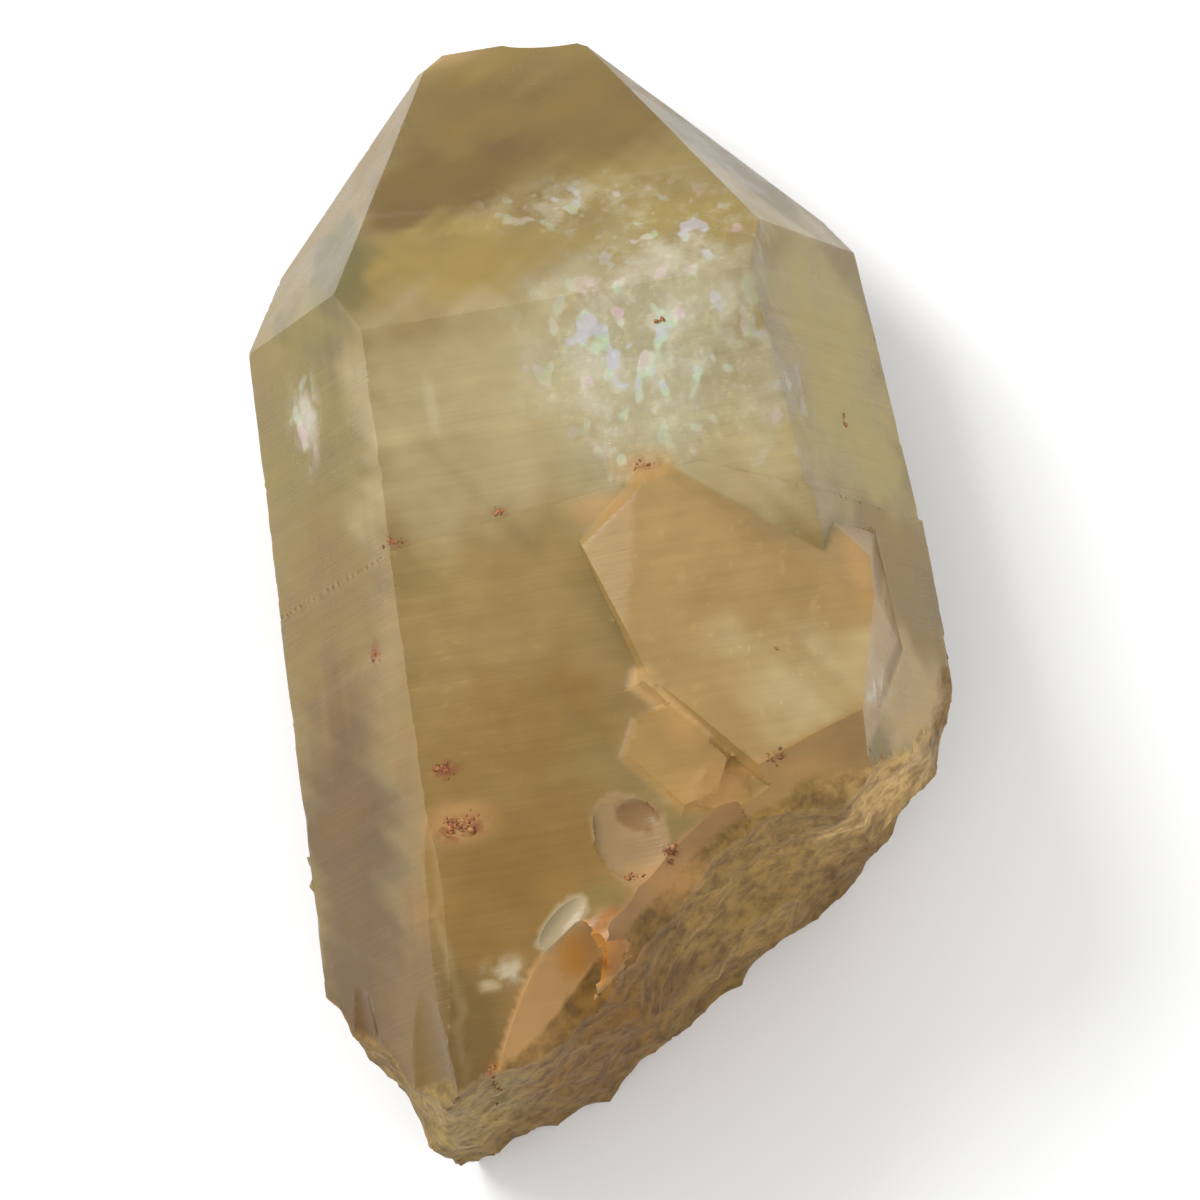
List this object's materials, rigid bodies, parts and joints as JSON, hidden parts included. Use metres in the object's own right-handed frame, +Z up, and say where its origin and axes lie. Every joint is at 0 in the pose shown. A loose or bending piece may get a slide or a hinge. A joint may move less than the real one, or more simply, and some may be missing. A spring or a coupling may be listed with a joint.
{
  "type": "citrine crystal cluster",
  "caption": "Natural citrine quartz: a six-sided pointed crystal with a lesser one grown into its face and a broken root, lying on its back face.",
  "frame": {"origin": "under the middle of the cluster's box, on the surface that it lies on", "axes": "+Y along the big crystal's axis towards its point, +Z up out of the face that shows the second crystal, +X to the right of that face"},
  "size_m": [0.0466, 0.0794, 0.0312],
  "materials": {
    "citrine": "glassy natural crystal faces with fine growth lines, milky and part see-through inside, matt and rough where broken"
  },
  "bodies": {
    "root": {"citrine_cluster": "citrine"}
  },
  "joints": []
}
